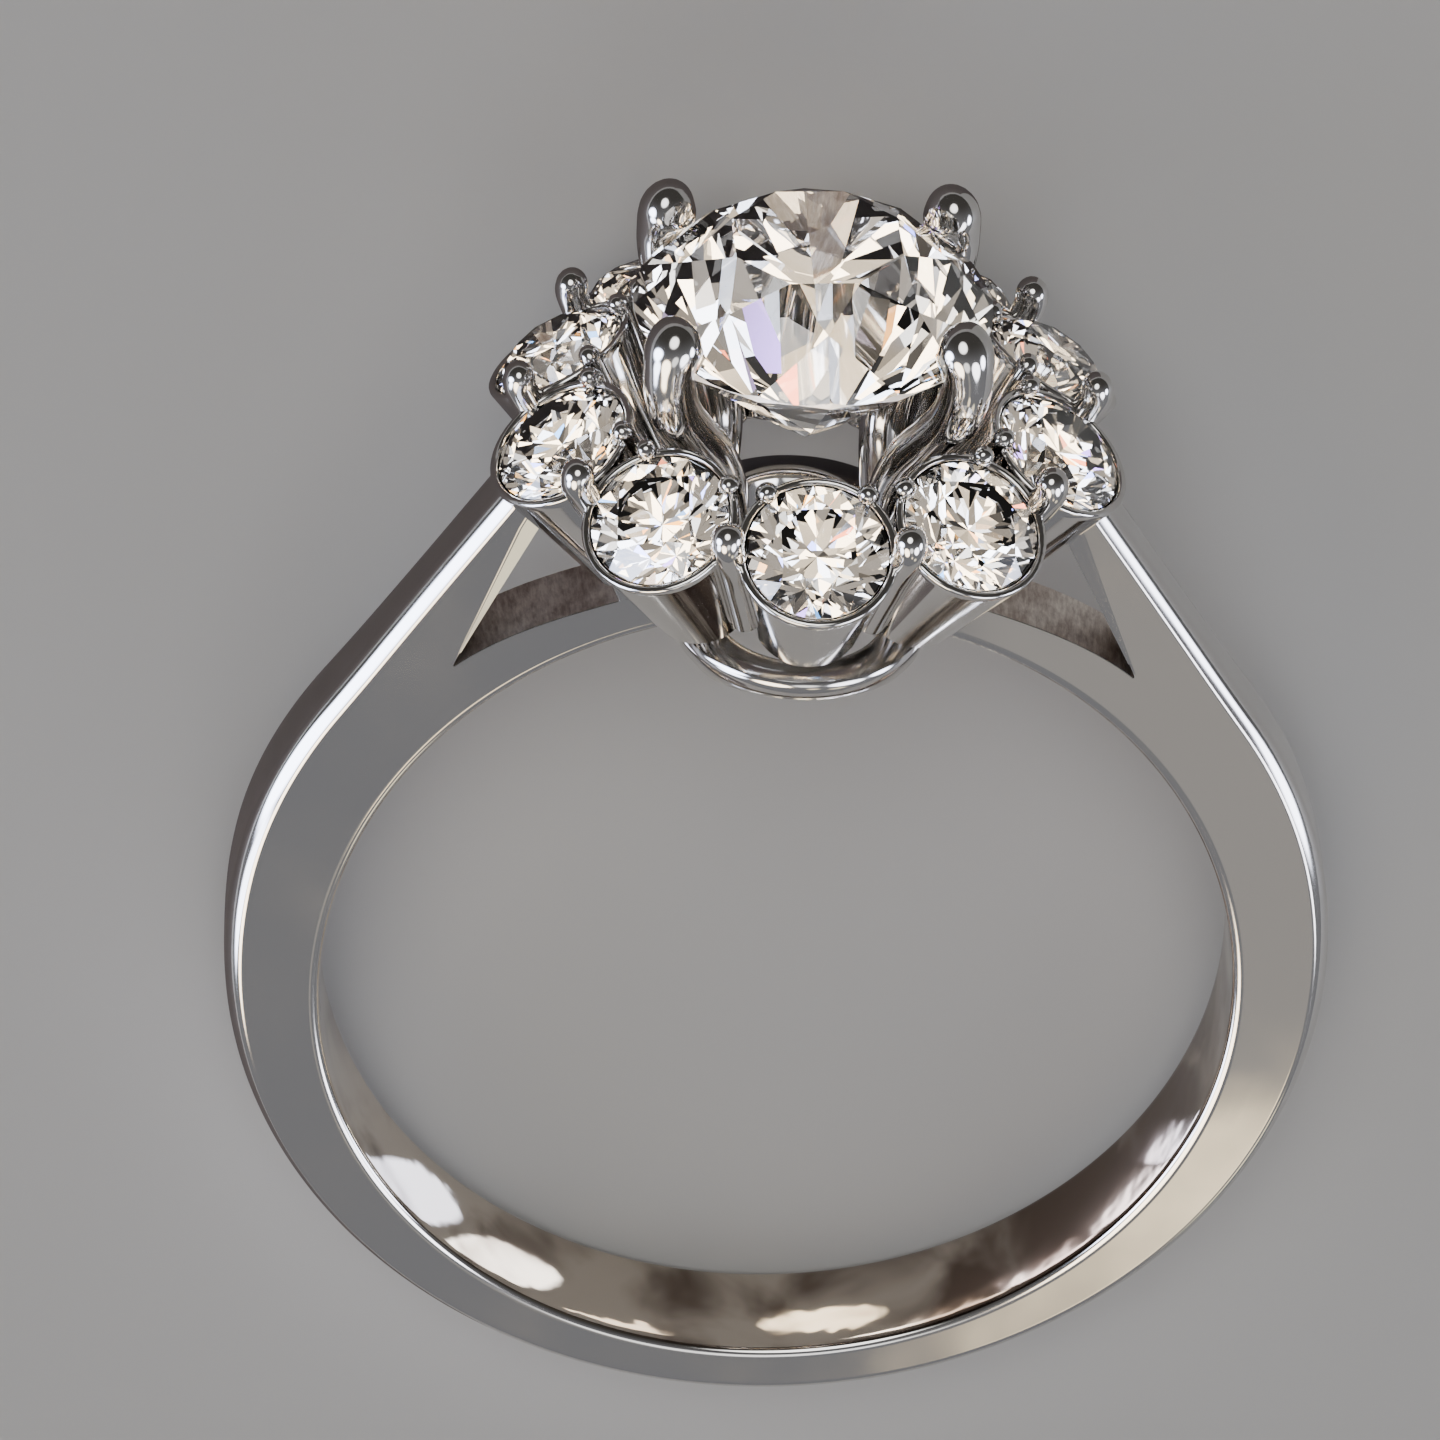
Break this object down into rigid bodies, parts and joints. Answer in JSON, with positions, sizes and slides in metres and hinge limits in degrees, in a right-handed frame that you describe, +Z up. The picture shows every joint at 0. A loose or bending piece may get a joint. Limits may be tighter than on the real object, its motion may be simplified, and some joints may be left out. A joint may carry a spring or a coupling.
{
  "type": "cluster ring",
  "caption": "Finger ring with a raised round centre stone in four claws, a halo of smaller claw-set stones and open cathedral shoulders.",
  "frame": {"origin": "on the surface the ring lies on, under the middle of its length and width", "axes": "+X across the finger hole, -Y from the finger hole towards the head, +Z up, about 12.5 degrees from the finger's direction because the lying ring leans on its halo"},
  "size_m": [0.0206, 0.0256, 0.0115],
  "materials": {
    "white_gold": "polished white gold",
    "diamond": "clear, faceted"
  },
  "bodies": {
    "root": {"mount": "white_gold", "centre_stone": "diamond", "halo_stone_01": "diamond", "halo_stone_02": "diamond", "halo_stone_03": "diamond", "halo_stone_04": "diamond", "halo_stone_05": "diamond", "halo_stone_06": "diamond", "halo_stone_07": "diamond", "halo_stone_08": "diamond", "halo_stone_09": "diamond", "halo_stone_10": "diamond"}
  },
  "joints": []
}
